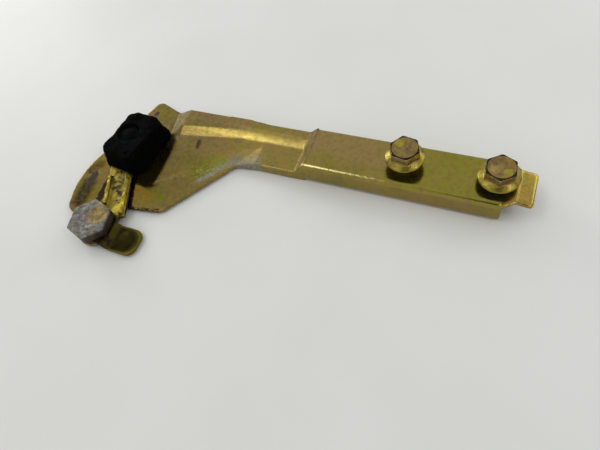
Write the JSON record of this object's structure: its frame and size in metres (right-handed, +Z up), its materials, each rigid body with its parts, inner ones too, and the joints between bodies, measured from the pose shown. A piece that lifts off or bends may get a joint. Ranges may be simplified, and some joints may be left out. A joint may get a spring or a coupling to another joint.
{
  "type": "door closer arm",
  "caption": "Pressed steel door closer arm with loose flanged bolts at its channel end and a swinging lever with a rubber buffer on its head plate.",
  "frame": {"origin": "on the plane that the arm rests on, under the axis of the inner mounting bolt, where that bolt's point stands", "axes": "+X along the channel from the head plate towards the end tab, +Y across the arm away from the lever's finger tab, +Z up, out of the face that carries the lever and the bolt heads"},
  "size_m": [0.1899, 0.0811, 0.0201],
  "materials": {
    "plated_steel": "yellow chromate plating, satin, iridescent",
    "greasy_plated_steel": "yellow chromate plating with rusty grease",
    "bolt_plating": "yellow chromate plating, brown with age on the head",
    "grey_steel": "worn grey steel",
    "spring_steel": "dark oiled spring steel",
    "shim_brass": "dull brass",
    "bush_bronze": "oily sintered bronze",
    "black_rubber": "worn matt black rubber"
  },
  "bodies": {
    "arm": {"arm_pressing": "plated_steel", "head_strip": "plated_steel", "pivot_stud": "grey_steel", "pivot_spring_washer": "grey_steel", "pivot_shim": "shim_brass"},
    "lever": {"buffer_lever": "greasy_plated_steel", "lever_bush": "bush_bronze", "rubber_buffer": "black_rubber", "buffer_sleeve": "grey_steel", "buffer_washer": "grey_steel", "buffer_rivet": "grey_steel"},
    "retainer_inner": {"bolt_retainer_inner": "spring_steel"},
    "bolt_inner": {"mount_bolt_inner": "bolt_plating"},
    "retainer_outer": {"bolt_retainer_outer": "spring_steel"},
    "bolt_outer": {"mount_bolt_outer": "bolt_plating"}
  },
  "joints": [
    {"name": "lever_swing", "type": "hinge", "parent": "arm", "child": "lever", "pos_m": [-0.1184, -0.0566, 0.004], "axis": [0, 0, 1], "range_deg": [0, 16]},
    {"name": "inner_bolt_slide", "type": "slide", "parent": "arm", "child": "retainer_inner", "axis": [0, 0, 1], "range_m": [-0.00405, 0.00065]},
    {"name": "inner_bolt_spin", "type": "hinge", "parent": "retainer_inner", "child": "bolt_inner", "pos_m": [0, 0, 0.008], "axis": [0, 0, 1], "continuous": true},
    {"name": "outer_bolt_slide", "type": "slide", "parent": "arm", "child": "retainer_outer", "axis": [0, 0, 1], "range_m": [-0.00275, 0.00195]},
    {"name": "outer_bolt_spin", "type": "hinge", "parent": "retainer_outer", "child": "bolt_outer", "pos_m": [0.034, 0, 0.008], "axis": [0, 0, 1], "continuous": true}
  ]
}
